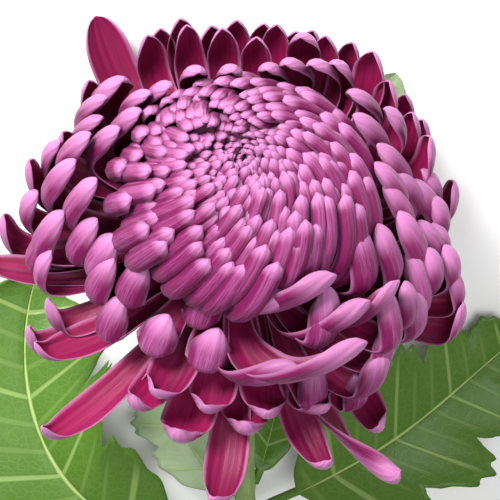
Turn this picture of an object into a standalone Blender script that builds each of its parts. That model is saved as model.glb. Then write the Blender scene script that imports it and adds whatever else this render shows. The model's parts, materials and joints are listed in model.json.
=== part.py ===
"""A cut chrysanthemum with a large incurved head, lying on a table on its lowest florets, its leaves and its stem.

Everything on the head hangs from an empty at the disc's centre: local X runs across the disc, local Y runs down the
side that the head lies on, and local Z is the flower's axis. Each floret is a channelled sheet, thickened and then
turned about that axis. Lengths in the tables are millimetres.
"""

import math

import bmesh
import bpy
from mathutils import Vector

MM = 0.001

# Where the flower lies
FACE_TURNED_UP = math.radians(30)
HEAD_HEIGHT = 52.7
ORIGIN_SHIFT = Vector((-2.29, -74.32, 0.0))

# The florets
FLORET_SKIN = 0.8
FLORET_STATIONS = 9
FLORET_ACROSS = 5
FOOT_WIDTH = 2.2
WIDEST_AT = 0.68
TIP_ROUND_FROM = 0.80
TIP_WIDTH_SHARE = 0.34
FOOT_CUP = math.radians(35)
BLADE_CUP = math.radians(68)

# The receptacle, the cup of bracts and the stem
RECEPTACLE_OUTLINE = ((0.0, 3.7), (6.6, 3.7), (8.9, 1.0), (10.2, -2.0), (10.8, -5.0), (8.5, -6.5), (0.0, -6.5))
RECEPTACLE_SIDES = 28
BRACT_CUP_OUTLINE = ((0.0, -6.8), (9.0, -6.8), (12.6, -7.6), (13.8, -8.6), (9.5, -11.6), (4.6, -14.2), (0.0, -14.2))
BRACT_COUNT = 13
BRACT_TOOTH = 0.14
BRACT_RIM_FROM = 11.0
STEM_TOP = -14.5
STEM_NECK_RADIUS = 2.5
STEM_CUT_RADIUS = 3.2
STEM_REACH = 182.0
STEM_LEAD = 45.0
STEM_REST = 62.0
STEM_STEPS = 26

# The crowded inner florets, as the profile of one fluted dome, with a dimple where the youngest florets meet
DOME_OUTLINE = (
    (0.0, 4.0), (5.5, 4.0), (8.0, 6.0), (15.0, 8.5), (25.0, 11.5), (31.5, 16.0), (33.5, 21.5), (32.0, 27.5),
    (27.0, 32.5), (19.0, 36.0), (10.0, 37.6), (4.0, 37.0), (0.0, 35.4),
)
DOME_SIDES = 51
DOME_RIBS = 17
DOME_RIB_DEPTH = 0.9
DOME_SWIRL = math.radians(70)
DOME_RIBS_FROM_LIFT = 11.0

# Each whorl: where its florets spring from, the way they set out and the way their tips point, as angles from the
# disc plane towards the axis, and the shares of their length that the two directions hold.
WHORLS = {
    "outer": {"base": (11.5, -4.6), "out": -12.0, "hold": 0.42, "end_hold": 0.34},
    "second": {"base": (10.9, -1.6), "out": -4.0, "hold": 0.46, "end_hold": 0.36},
    "third": {"base": (9.6, 1.4), "out": 8.0, "hold": 0.46, "end_hold": 0.40},
}

FLORETS = (
    ("outer", 10, 58, 8, 80, 4, 9.5),
    ("outer", 345, 60, 6, 85, 6, 9.0),
    ("outer", 327, 61, -3, 70, 6, 9.0),
    ("outer", 309, 61, -13, 60, 3, 9.5),
    ("outer", 285, 70, -19, 12, 14, 9.5),
    ("outer", 262, 66, -24, 10, -2, 10.5),
    ("outer", 243, 56, -8, 60, 2, 10.5),
    ("outer", 225, 68, -15, 22, 0, 9.0),
    ("outer", 206, 60, -8, 35, -2, 10.0),
    ("outer", 188, 65, -4, 60, -4, 10.0),
    ("outer", 168, 58, 10, 85, -3, 9.5),
    ("outer", 147, 57, 14, 90, -3, 9.5),
    ("outer", 125, 73, 15, 58, -2, 10.5),
    ("outer", 101.5, 65.5, 11, 86, 0, 10.0),
    ("outer", 78.5, 65.5, 10, 86, 0, 10.0),
    ("outer", 56, 62, 8, 85, 0, 10.0),
    ("outer", 33, 57, 10, 88, 2, 9.5),
    ("second", 358, 54, 13, 108, 4, 9.0),
    ("second", 21, 54, 16, 108, 4, 9.5),
    ("second", 44, 56, 18, 104, 2, 10.0),
    ("second", 67, 57, 22, 100, 0, 10.0),
    ("second", 90, 57, 23, 98, 0, 10.0),
    ("second", 112, 56, 23, 98, -1, 10.0),
    ("second", 136, 55, 22, 104, -3, 9.5),
    ("second", 158, 55, 21, 106, -4, 9.5),
    ("second", 178, 55, 17, 108, -4, 9.5),
    ("second", 197, 55, 10, 108, -3, 9.5),
    ("second", 216, 54, 5, 106, -2, 9.5),
    ("second", 234, 53, 4, 104, 0, 10.0),
    ("second", 253, 53, 2, 104, 0, 10.5),
    ("second", 273, 54, 1, 98, 4, 10.0),
    ("second", 297, 54, 2, 98, 6, 9.5),
    ("second", 318, 55, 5, 100, 6, 9.5),
    ("second", 336, 55, 9, 104, 6, 9.0),
    ("third", 11, 45, 26, 128, 5, 8.5),
    ("third", 33, 45, 28, 128, 4, 8.5),
    ("third", 56, 46, 30, 124, 2, 9.0),
    ("third", 79, 46, 31, 122, 0, 9.0),
    ("third", 101, 46, 31, 122, 0, 9.0),
    ("third", 124, 46, 30, 124, -3, 9.0),
    ("third", 147, 46, 29, 126, -4, 9.0),
    ("third", 169, 46, 27, 128, -4, 9.0),
    ("third", 190, 45, 22, 130, -3, 9.5),
    ("third", 212, 44, 16, 132, -2, 9.5),
    ("third", 233, 44, 13, 132, 0, 9.5),
    ("third", 256, 45, 11, 130, 2, 10.0),
    ("third", 279, 45, 11, 122, 7, 10.0),
    ("third", 302, 46, 13, 120, 8, 9.5),
    ("third", 326, 46, 18, 124, 7, 9.0),
    ("third", 349, 45, 23, 126, 6, 8.5),
)

# One row for each leaf: its name, how far along the stem it grows, the side it grows to, the bearing of its midrib
# from the stem's direction at the petiole and at the tip, length, width, and the midrib's greatest rise.
LEAVES = (
    ("leaf_left", 0.66, 1, 90, 200, 118, 62, 14),
    ("leaf_right", 0.60, -1, 122, 126, 96, 48, 10),
    ("leaf_pale", 0.585, 1, 140, 156, 47, 22, 4),
    ("leaf_under", 0.54, -1, 158, 166, 27, 13, 1),
    ("leaf_low", 0.86, -1, 50, 76, 74, 38, 8),
    ("leaf_front", 0.27, -1, 150, 156, 86, 26, 0),
)
LEAF_SKIN = 0.9
LEAF_STATIONS = 24
LEAF_ACROSS = 5
PETIOLE_SHARE = 0.16
PETIOLE_WIDTH = 2.6
LEAF_LOBES = 4
LOBE_DEPTH = 0.24
LEAF_FOLD = 0.16
LEAF_TIP_CLEARANCE = 0.55
SEAT_GAP = 0.3

# Red, green, blue and roughness
COLOURS = {
    "floret_outer": (0.52, 0.09, 0.27, 0.5),
    "floret_second": (0.58, 0.13, 0.34, 0.5),
    "floret_third": (0.64, 0.20, 0.44, 0.5),
    "inner_florets": (0.66, 0.25, 0.49, 0.5),
    "receptacle": (0.62, 0.68, 0.40, 0.6),
    "involucre": (0.20, 0.32, 0.12, 0.6),
    "stem": (0.24, 0.38, 0.14, 0.55),
    "leaf": (0.16, 0.32, 0.06, 0.5),
}


def blend(low, high, share):
    return low + (high - low) * share


def smooth(value):
    held = min(1.0, max(0.0, value))
    return held * held * (3.0 - 2.0 * held)


def bezier(points, share):
    """A point on the cubic through four control points."""
    a, b, c, d = points
    rest = 1.0 - share
    return a * rest**3 + b * (3 * rest**2 * share) + c * (3 * rest * share**2) + d * share**3


def material(name):
    made = bpy.data.materials.get(name)
    if made is None:
        made = bpy.data.materials.new(name)
        made.use_nodes = True
        shader = made.node_tree.nodes["Principled BSDF"]
        red, green, blue, roughness = COLOURS[name]
        shader.inputs["Base Color"].default_value = (red, green, blue, 1.0)
        shader.inputs["Roughness"].default_value = roughness
        shader.inputs["Metallic"].default_value = 0.0
    return made


def add_piece(name, shape, colour, parent):
    """A named object round a mesh or a curve, hung from its parent."""
    shape.materials.append(material(colour))
    piece = bpy.data.objects.new(name, shape)
    piece.parent = parent
    bpy.context.collection.objects.link(piece)
    return piece


def sheet(name, rows):
    """A mesh of quads through equally long rows of points in millimetres."""
    mesh = bpy.data.meshes.new(name)
    across = len(rows[0])
    faces = []
    for row in range(len(rows) - 1):
        for step in range(across - 1):
            corner = row * across + step
            faces.append((corner, corner + across, corner + across + 1, corner + 1))
    mesh.from_pydata([point * MM for row in rows for point in row], [], faces)
    mesh.shade_smooth()
    mesh.set_sharp_from_angle(angle=math.radians(50))
    return mesh


def thicken(piece, thickness):
    """Gives a sheet its thickness, half on each side."""
    skin = piece.modifiers.new("skin", "SOLIDIFY")
    skin.thickness = thickness * MM
    skin.offset = 0.0


def add_head():
    """The empty that carries the head: its local Z is the flower's axis, turned up from the table."""
    head = bpy.data.objects.new("head", None)
    head.empty_display_size = 0.02
    head.location = (ORIGIN_SHIFT + Vector((0.0, 0.0, HEAD_HEIGHT))) * MM
    head.rotation_euler = (FACE_TURNED_UP - math.pi / 2, 0.0, math.pi)
    bpy.context.collection.objects.link(head)
    return head


def floret_midrib(row):
    """Points from a floret's seat on the receptacle to its tip, setting out along local X, and the lift direction."""
    whorl, _azimuth, tip_radius, tip_lift, tip_angle, lean, _width = row
    plan = WHORLS[whorl]
    base, tip = Vector(plan["base"]), Vector((tip_radius, tip_lift))
    span = (tip - base).length
    out, end = math.radians(plan["out"]), math.radians(tip_angle)
    controls = (
        base,
        base + Vector((math.cos(out), math.sin(out))) * span * plan["hold"],
        tip - Vector((math.cos(end), math.sin(end))) * span * plan["end_hold"],
        tip,
    )
    line = []
    for step in range(FLORET_STATIONS):
        share = step / (FLORET_STATIONS - 1)
        radius, lift = bezier(controls, share)
        turn = math.radians(lean * share**2)
        line.append(Vector((radius * math.cos(turn), radius * math.sin(turn), lift)))
    return line


def floret_width(share, widest):
    """The width of the blade at a share of its length: a narrow foot, a broad middle and a round tip."""
    width = blend(FOOT_WIDTH, widest, smooth(share / WIDEST_AT))
    if share > TIP_ROUND_FROM:
        into = (share - TIP_ROUND_FROM) / (1.0 - TIP_ROUND_FROM)
        width *= blend(TIP_WIDTH_SHARE, 1.0, math.sqrt(max(0.0, 1.0 - into**2)))
    return width


def add_floret(name, row, head):
    """A floret: a channel bent round its midrib, open towards the flower's axis."""
    line = floret_midrib(row)
    normal = Vector((0.0, 0.0, 1.0))
    rows = []
    for place, point in enumerate(line):
        share = place / (FLORET_STATIONS - 1)
        ahead = line[min(place + 1, len(line) - 1)] - line[max(place - 1, 0)]
        tangent = ahead.normalized()
        normal = (normal - tangent * normal.dot(tangent)).normalized()
        side = tangent.cross(normal)
        cup = blend(FOOT_CUP, BLADE_CUP, smooth(share / 0.5))
        bend = floret_width(share, row[6]) / (2.0 * math.sin(cup))
        across = []
        for step in range(FLORET_ACROSS):
            angle = cup * (2.0 * step / (FLORET_ACROSS - 1) - 1.0)
            across.append(point + side * bend * math.sin(angle) + normal * bend * (1.0 - math.cos(angle)))
        rows.append(across)
    floret = add_piece(name, sheet(name, rows), "floret_" + row[0], head)
    floret.rotation_euler.z = math.radians(row[1])
    thicken(floret, FLORET_SKIN)


def turned(name, outline, sides, reshape):
    """A mesh spun once round the axis from a profile of (radius, lift), each point's radius then reshaped."""
    shape = bmesh.new()
    points = [shape.verts.new((radius * MM, 0.0, lift * MM)) for radius, lift in outline]
    edges = [shape.edges.new(pair) for pair in zip(points, points[1:])]
    around = {"cent": (0.0, 0.0, 0.0), "axis": (0.0, 0.0, 1.0), "angle": 2.0 * math.pi, "steps": sides}
    bmesh.ops.spin(shape, geom=points + edges, use_merge=True, **around)
    bmesh.ops.remove_doubles(shape, verts=shape.verts, dist=0.01 * MM)
    for point in shape.verts:
        radius = math.hypot(point.co.x, point.co.y)
        if radius > 0.1 * MM:
            azimuth = math.atan2(point.co.y, point.co.x)
            share = reshape(radius / MM, azimuth, point.co.z / MM) * MM / radius
            point.co.x *= share
            point.co.y *= share
    bmesh.ops.recalc_face_normals(shape, faces=shape.faces)
    mesh = bpy.data.meshes.new(name)
    shape.to_mesh(mesh)
    shape.free()
    mesh.shade_smooth()
    mesh.set_sharp_from_angle(angle=math.radians(50))
    return mesh


def add_receptacle(head):
    """The fleshy boss that every floret grows from, its profile turned by a screw modifier."""
    mesh = bpy.data.meshes.new("receptacle")
    points = [(radius * MM, 0.0, lift * MM) for radius, lift in RECEPTACLE_OUTLINE]
    mesh.from_pydata(points, [(place, place + 1) for place in range(len(points) - 1)], [])
    receptacle = add_piece("receptacle", mesh, "receptacle", head)
    turn = receptacle.modifiers.new("turn", "SCREW")
    turn.steps = RECEPTACLE_SIDES
    turn.render_steps = RECEPTACLE_SIDES
    turn.use_merge_vertices = True
    turn.merge_threshold = 0.0001
    turn.use_smooth_shade = True


def add_involucre(head):
    """The cup of green bracts behind the florets, notched between one bract and the next."""

    def toothed(radius, azimuth, _lift):
        notch = abs(math.sin(BRACT_COUNT * azimuth / 2.0))
        depth = BRACT_TOOTH if radius > BRACT_RIM_FROM else 0.0
        return radius * (1.0 - depth * (1.0 - notch))

    mesh = turned("involucre", BRACT_CUP_OUTLINE, BRACT_COUNT * 6, toothed)
    add_piece("involucre", mesh, "involucre", head)


def smooth_outline(outline, between):
    """The outline with points added between its own, on a smooth curve through them."""
    full = []
    for place in range(len(outline) - 1):
        before = Vector(outline[max(place - 1, 0)])
        start, end = Vector(outline[place]), Vector(outline[place + 1])
        after = Vector(outline[min(place + 2, len(outline) - 1)])
        controls = (start, start + (end - before) / 6.0, end - (after - start) / 6.0, end)
        full += [tuple(bezier(controls, step / between)) for step in range(between)]
    full.append(outline[-1])
    return full


def add_inner_florets(head):
    """The crowded inner florets as one dome, fluted by the spiral in which they lie."""
    widest = max(radius for radius, _lift in DOME_OUTLINE)

    def fluted(radius, azimuth, lift):
        depth = DOME_RIB_DEPTH * smooth((lift - DOME_RIBS_FROM_LIFT) / 8.0) * smooth(radius / 12.0)
        turn = DOME_SWIRL * (1.0 - radius / widest)
        return radius - depth * (0.5 - 0.5 * math.cos(DOME_RIBS * (azimuth - turn)))

    mesh = turned("inner_florets", smooth_outline(DOME_OUTLINE, 2), DOME_SIDES, fluted)
    add_piece("inner_florets", mesh, "inner_florets", head)


def stem_controls():
    """The stem's end points and handles: down from the head along its axis, then level along the table."""
    axis = Vector((0.0, -math.cos(FACE_TURNED_UP), math.sin(FACE_TURNED_UP)))
    top = Vector((0.0, 0.0, HEAD_HEIGHT)) + axis * STEM_TOP
    cut = Vector((0.0, STEM_REACH, STEM_CUT_RADIUS))
    return top, top - axis * STEM_LEAD, cut - Vector((0.0, STEM_REST, 0.0)), cut


def add_stem():
    """The stem: a round curve that thickens towards its cut end."""
    curve = bpy.data.curves.new("stem", "CURVE")
    curve.dimensions = "3D"
    curve.twist_mode = "Z_UP"
    curve.resolution_u = STEM_STEPS
    curve.bevel_depth = MM
    curve.bevel_resolution = 3
    curve.use_fill_caps = True
    spline = curve.splines.new("BEZIER")
    spline.bezier_points.add(1)
    top, top_handle, cut_handle, cut = [point * MM for point in stem_controls()]
    first, last = spline.bezier_points
    first.co, first.handle_left, first.handle_right = top, top * 2 - top_handle, top_handle
    last.co, last.handle_left, last.handle_right = cut, cut_handle, cut * 2 - cut_handle
    first.radius, last.radius = STEM_NECK_RADIUS, STEM_CUT_RADIUS
    stem = add_piece("stem", curve, "stem", None)
    stem.location = ORIGIN_SHIFT * MM
    return stem


def leaf_midrib(row, seat_height):
    """Points along a leaf's midrib from its seat: setting out along local Y, over its rise and down to the table."""
    _name, _along, side, bearing, tip_bearing, length, _width, rise = row
    line = [Vector((0.0, 0.0, 0.0))]
    step = length / (LEAF_STATIONS - 1)
    for place in range(1, LEAF_STATIONS):
        share = place / (LEAF_STATIONS - 1)
        turn = math.radians((tip_bearing - bearing) * share)
        level = line[-1] + Vector((side * math.sin(turn), math.cos(turn), 0.0)) * step
        fall = blend(seat_height, LEAF_TIP_CLEARANCE, smooth(share)) - seat_height
        level.z = fall + rise * math.sin(math.pi * share) ** 1.5
        line.append(level)
    return line


def leaf_half_width(share, widest):
    """Half the blade's width, with rounded lobes that point to the tip."""
    if share < PETIOLE_SHARE:
        return PETIOLE_WIDTH / 2
    into = (share - PETIOLE_SHARE) / (1.0 - PETIOLE_SHARE)
    body = math.sin(math.pi * min(1.0, into**0.8)) ** 0.7 if 0.0 < into < 1.0 else 0.0
    lobe = abs(math.sin(math.pi * LEAF_LOBES * into**1.1))
    return PETIOLE_WIDTH / 2 + (widest / 2) * body * (1.0 - LOBE_DEPTH * (1.0 - lobe) * 1.6)


def add_leaf(row, stem):
    """A leaf: a lobed sheet folded up along its midrib, seated beside the stem and turned to its bearing."""
    name, along, side, bearing, _tip_bearing, _length, widest, _rise = row
    seat = bezier(stem_controls(), along)
    corner = PETIOLE_WIDTH / 2 * abs(math.cos(math.radians(bearing)))
    radius = blend(STEM_NECK_RADIUS, STEM_CUT_RADIUS, along)
    seat.x += side * (radius + corner + SEAT_GAP)
    line = leaf_midrib(row, seat.z)
    rows = []
    for place, point in enumerate(line):
        share = place / (LEAF_STATIONS - 1)
        ahead = line[min(place + 1, len(line) - 1)] - line[max(place - 1, 0)]
        tangent = ahead.normalized()
        right = tangent.cross(Vector((0.0, 0.0, 1.0))).normalized()
        above = right.cross(tangent).normalized()
        half = leaf_half_width(share, widest)
        fold = LEAF_FOLD * smooth((share - PETIOLE_SHARE) / 0.2) * (1.0 - smooth((share - 0.8) / 0.2))
        spread = [2.0 * step / (LEAF_ACROSS - 1) - 1.0 for step in range(LEAF_ACROSS)]
        rows.append([point + right * half * across + above * half * fold * abs(across) for across in spread])
    leaf = add_piece(name, sheet(name, rows), "leaf", stem)
    leaf.location = seat * MM
    leaf.rotation_euler.z = -side * math.radians(bearing)
    thicken(leaf, LEAF_SKIN)


def main():
    for thing in list(bpy.data.objects):
        bpy.data.objects.remove(thing)
    head = add_head()
    counts = {}
    for row in FLORETS:
        counts[row[0]] = counts.get(row[0], 0) + 1
        add_floret(f"{row[0]}_floret_{counts[row[0]]:02d}", row, head)
    add_inner_florets(head)
    add_receptacle(head)
    add_involucre(head)
    stem = add_stem()
    for row in LEAVES:
        add_leaf(row, stem)


main()
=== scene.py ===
"""A cut incurved chrysanthemum on a pale table: streaked florets, bracts, a ribbed stem and lobed leaves.

The head is drawn in its own frame: a radius and an azimuth in the plane of the disc, and a lift along the flower's
axis. Azimuth 90 is the side that the head lies on. Lengths in the tables are millimetres, and meshes are in metres.
"""

import json
import math

import bmesh
import bpy
import numpy as np
from bpy.props import FloatProperty, FloatVectorProperty, IntProperty, PointerProperty
from mathutils import Matrix, Vector

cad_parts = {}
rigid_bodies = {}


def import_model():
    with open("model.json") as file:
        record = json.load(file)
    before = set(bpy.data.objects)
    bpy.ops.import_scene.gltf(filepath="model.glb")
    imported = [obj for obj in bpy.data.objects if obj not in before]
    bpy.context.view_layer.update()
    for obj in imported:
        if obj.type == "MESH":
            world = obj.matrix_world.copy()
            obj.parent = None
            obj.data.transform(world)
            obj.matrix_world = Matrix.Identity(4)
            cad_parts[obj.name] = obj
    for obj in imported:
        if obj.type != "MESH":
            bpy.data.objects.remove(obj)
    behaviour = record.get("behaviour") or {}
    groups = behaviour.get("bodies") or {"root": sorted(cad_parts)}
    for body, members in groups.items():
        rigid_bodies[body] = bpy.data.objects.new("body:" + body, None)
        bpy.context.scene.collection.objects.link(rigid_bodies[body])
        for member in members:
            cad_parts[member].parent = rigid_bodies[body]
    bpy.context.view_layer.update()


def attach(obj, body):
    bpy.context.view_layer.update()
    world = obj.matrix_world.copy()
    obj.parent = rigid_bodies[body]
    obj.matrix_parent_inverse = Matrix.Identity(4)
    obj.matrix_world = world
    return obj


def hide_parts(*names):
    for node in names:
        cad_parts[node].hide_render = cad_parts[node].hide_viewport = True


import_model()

bl_info = {
    "name": "Cut chrysanthemum",
    "version": (1, 0, 0),
    "blender": (4, 5, 0),
    "location": "3D View > Sidebar > Chrysanthemum",
    "description": "Builds a cut chrysanthemum with channelled florets, a leafy stem and a soft-lit table",
    "category": "Object",
}

MM = 0.001

# Where the flower lies, the same as in the part
FACE_TURNED_UP = math.radians(30)
HEAD_HEIGHT = 52.7
ORIGIN_SHIFT = (-2.29, -74.32, 0.0)

# Each whorl: where its florets spring from, the way they set out, and the shares of their length that the first and
# the last direction hold.
WHORLS = {
    "outer": {"base": (11.5, -4.6), "out": -12.0, "hold": 0.42, "end_hold": 0.36},
    "second": {"base": (10.9, -1.6), "out": -4.0, "hold": 0.46, "end_hold": 0.40},
    "third": {"base": (9.6, 1.4), "out": 8.0, "hold": 0.46, "end_hold": 0.44},
    "fourth": {"base": (8.2, 3.4), "out": 14.0, "hold": 0.50, "end_hold": 0.48},
}

# How florets end: the angle that the tip points, how far it hooks over and along what length, the half angle of the
# channel, how much more it closes at the tip, where the rounding of the tip starts and how blunt it is, and the power
# of the lean. A hood runs straighter to its tip, and a twisted floret turns its back up.
KIND_TERMS = ("end", "hook", "hook_length", "cup", "hood", "round_from", "roundness", "sweep")
KINDS = {
    "face": (88, 34, 5.0, 50, 26, 0.85, 2.0, 1.7),
    "bowl": (108, 60, 6.5, 64, 24, 0.86, 2.0, 1.8),
    "hood": (126, 46, 6.0, 76, 14, 0.80, 2.5, 1.8),
    "sickle": (66, 44, 5.5, 76, 12, 0.84, 2.5, 2.8),
    "trail": (6, 104, 9.0, 52, 44, 0.66, 2.0, 2.2),
    "twisted": (4, 60, 8.0, 50, 30, 0.70, 2.0, 2.2),
    "beak": (20, 116, 9.0, 46, 50, 0.70, 2.0, 1.7),
    "spear": (58, 12, 3.0, 44, 6, 0.84, 2.0, 1.7),
}
KIND_EXTRAS = {"hood": {"end_hold": 0.66}, "twisted": {"twist": -132}}

# One row for each floret outside the crowd, by the family of its piece: the number of the piece, whorl, azimuth at the
# base, tip radius, tip lift, the kind of its tip, how far it leans round the axis by its tip, and its greatest width.
FLORETS = {
    "outer": (
        (1, "outer", 12, 59, -2, "face", 5, 10),
        (2, "outer", 340, 58, -4, "bowl", 10, 9),
        (2, "outer", 343, 56, 2, "bowl", 10, 9),
        (3, "outer", 336, 60, -10, "face", 8, 9.5),
        (4, "outer", 314, 54, -22, "trail", -8, 10),
        (5, "outer", 287, 56, -24, "trail", 4, 10),
        (5, "outer", 292, 64, -24, "twisted", 12, 10.5),
        (6, "outer", 266, 62, -26, "trail", -3, 11),
        (7, "outer", 238, 51, -12, "beak", 0, 11),
        (7, "outer", 252, 52, -18, "beak", 0, 14),
        (8, "outer", 229, 68, -16, "trail", -4, 9.5),
        (9, "outer", 201, 61, -14, "face", 0, 9),
        (9, "outer", 213, 57, -10, "trail", -4, 9.5),
        (10, "outer", 181, 64, 2, "face", -4, 10),
        (10, "outer", 192, 64, -4, "trail", -8, 10),
        (11, "outer", 170, 58, 14, "face", -2, 9),
        (12, "outer", 137, 60, 10, "face", -2, 8.5),
        (13, "outer", 125, 73, 14, "spear", -2, 12),
        (14, "outer", 92, 62, 12, "face", 0, 9.5),
        (14, "outer", 106, 65, 12, "face", 0, 9.5),
        (14, "outer", 111, 65, 10, "face", 0, 9),
        (15, "outer", 73, 64.5, 8, "face", 0, 9),
        (15, "outer", 85, 61, 12, "face", 0, 9),
        (16, "outer", 51, 63, 0, "face", 2, 9),
        (16, "outer", 62, 63, 10, "face", 0, 9.5),
        (17, "outer", 32, 60, 2, "face", 4, 9),
        (17, "outer", 41, 61, 4, "face", 3, 8.5),
    ),
    "second": (
        (1, "second", 353, 53, 2, "bowl", 8, 9),
        (1, "second", 359, 53, 6, "bowl", 8, 9.5),
        (2, "second", 12, 53, 6, "bowl", 6, 9),
        (2, "second", 17, 53, 14, "face", 5, 10.5),
        (3, "second", 32, 56, 8, "face", 4, 9),
        (3, "second", 42, 55, 14, "face", 3, 9.5),
        (3, "second", 50, 56, 20, "face", 2, 11),
        (4, "second", 66, 59, 14, "face", 2, 9.5),
        (4, "second", 76, 58, 14, "face", 0, 9.5),
        (5, "second", 81, 56, 18, "face", 0, 9),
        (5, "second", 99, 59, 14, "face", 0, 9.5),
        (6, "second", 107, 54, 22, "face", 0, 9),
        (6, "second", 116, 61, 14, "face", 0, 9.5),
        (7, "second", 137, 52, 20, "hood", -4, 14),
        (8, "second", 144, 55, 12, "bowl", -2, 8.5),
        (9, "second", 163, 55, 16, "bowl", -2, 9),
        (10, "second", 196, 55, 6, "bowl", -4, 8.5),
        (10, "second", 177, 58, 10, "bowl", -2, 9),
        (11, "second", 207, 55, -4, "face", -6, 9.5),
        (12, "third", 220, 44, 6, "hood", -2, 9.5),
        (12, "third", 243, 46, -8, "trail", 0, 13),
        (13, "third", 258, 44, -12, "trail", 0, 13),
        (13, "third", 270, 47, -18, "beak", 0, 13.5),
        (14, "second", 259, 47, 4, "sickle", 28, 10.5),
        (14, "second", 277, 45, -12, "trail", 0, 13),
        (15, "second", 297, 51, -10, "bowl", 12, 9),
        (15, "second", 290, 47, -12, "trail", 4, 12),
        (16, "second", 291, 53, -2, "bowl", 24, 9),
        (16, "second", 302, 51, 2, "bowl", 18, 8.5),
        (17, "second", 320, 52, 2, "bowl", 14, 9),
        (17, "second", 338, 52, 6, "bowl", 10, 9.5),
    ),
    "third": (
        (1, "fourth", 7, 40, 24, "hood", 10, 8.5),
        (1, "fourth", 358, 38, 24, "hood", 10, 8.5),
        (1, "third", 3, 48, 12, "hood", 7, 9),
        (1, "third", 4, 43, 18, "hood", 6, 8.5),
        (2, "fourth", 22, 37, 28, "hood", 8, 9),
        (2, "fourth", 39, 42, 26, "hood", 5, 9),
        (2, "third", 28, 48, 20, "bowl", 5, 9.5),
        (3, "fourth", 58, 41, 30, "hood", 4, 8.5),
        (3, "third", 54, 46, 26, "bowl", 2, 9),
        (4, "fourth", 67, 37, 32, "hood", 4, 8),
        (4, "fourth", 75, 34, 32, "hood", 4, 8),
        (4, "third", 72, 52, 24, "bowl", 0, 9),
        (4, "third", 86, 46, 24, "face", 0, 8.5),
        (5, "fourth", 93, 33, 32, "hood", 4, 8),
        (5, "third", 97, 51, 22, "face", 0, 9),
        (6, "fourth", 109, 35, 32, "hood", 4, 8),
        (6, "fourth", 129, 36, 30, "hood", 0, 8),
        (7, "fourth", 138, 39, 28, "hood", -2, 8.5),
        (7, "fourth", 151, 36, 30, "hood", -2, 8.5),
        (7, "third", 145, 50, 22, "hood", -2, 8.5),
        (7, "third", 151, 48, 20, "hood", -2, 8.5),
        (8, "fourth", 161, 39, 28, "hood", -2, 8.5),
        (8, "fourth", 165, 46, 26, "hood", -2, 9),
        (8, "third", 158, 53, 14, "face", -2, 9),
        (8, "third", 175, 48, 24, "hood", -2, 9),
        (9, "fourth", 185, 42, 26, "hood", -2, 8.5),
        (9, "fourth", 195, 43, 18, "hood", -2, 8.5),
        (9, "third", 189, 53, 10, "hood", -2, 9),
        (9, "third", 190, 51, 16, "hood", -4, 9),
        (10, "fourth", 203, 40, 18, "hood", 0, 9.5),
        (10, "fourth", 218, 37, 16, "hood", 2, 9.5),
        (10, "third", 209, 42, 14, "hood", -2, 9),
        (11, "third", 233, 40, 6, "hood", 4, 10.5),
        (12, "fourth", 245, 32, 14, "hood", 8, 9.5),
        (12, "third", 253, 39, 6, "hood", 6, 10.5),
        (13, "fourth", 251, 35, 18, "sickle", 38, 11),
        (13, "third", 287, 46, -2, "hood", 8, 8.5),
        (14, "fourth", 269, 37, 22, "sickle", 38, 11),
        (14, "fourth", 286, 44, 14, "sickle", 28, 10),
        (14, "fourth", 289, 40, 18, "hood", 16, 8.5),
        (14, "third", 264, 51, 10, "sickle", 42, 11),
        (15, "fourth", 304, 46, 14, "sickle", 22, 9),
        (15, "fourth", 315, 36, 24, "hood", 16, 9),
        (15, "fourth", 327, 40, 20, "hood", 14, 9),
        (15, "third", 310, 48, 12, "hood", 14, 8.5),
        (15, "third", 320, 50, 8, "bowl", 12, 8),
        (16, "fourth", 341, 44, 16, "hood", 12, 9.5),
        (16, "fourth", 350, 40, 20, "hood", 12, 9),
        (16, "third", 322, 48, 8, "hood", 24, 9.5),
        (16, "third", 348, 49, 8, "hood", 9, 9),
    ),
}

# The crowded inner florets, from the youngest at the centre to the edge of the crowd: share of the way out, base
# radius and lift, the angle it sets out at and its hold, tip radius and lift, the angle the tip points and its hold,
# lean in degrees, and width.
CROWD_STAGES = (
    (0.00, 0.6, 5.0, 84.0, 0.5, 1.2, 34.0, 112.0, 0.30, 54.0, 2.3),
    (0.10, 1.6, 5.0, 60.0, 0.5, 3.8, 35.4, 128.0, 0.34, 58.0, 2.8),
    (0.28, 2.8, 4.8, 36.0, 0.55, 9.0, 37.0, 142.0, 0.42, 60.0, 3.3),
    (0.50, 4.2, 4.6, 20.0, 0.6, 15.0, 37.8, 150.0, 0.48, 56.0, 3.8),
    (0.74, 5.8, 4.4, 12.0, 0.62, 22.5, 36.0, 142.0, 0.54, 46.0, 4.6),
    (0.90, 6.8, 4.2, 8.0, 0.64, 28.5, 31.8, 128.0, 0.56, 36.0, 5.6),
    (1.00, 7.4, 4.2, 4.0, 0.64, 32.5, 28.0, 120.0, 0.56, 30.0, 6.4),
)

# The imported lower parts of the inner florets, under their tips, as a profile of (radius, lift)
PACKED_OUTLINE = (
    (0.0, 31.4), (5.0, 33.2), (10.0, 34.6), (15.0, 34.6), (19.0, 32.4),
    (22.6, 27.0), (24.0, 19.0), (14.0, 8.0), (7.0, 4.4), (0.0, 4.4),
)

# How finely florets are drawn, and the crowd's spiral
CURVE_STEPS = 80
HOOK_STEPS = 24
TIP_CLOSENESS = 1.35
SEPARATE_SEED = 11
FLORET_STATIONS = 34
FLORET_ACROSS = 9
CROWD_STATIONS = 18
CROWD_ACROSS = 6
CROWD_MOULDS = 14
GOLDEN_ANGLE = math.radians(137.50776)

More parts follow.
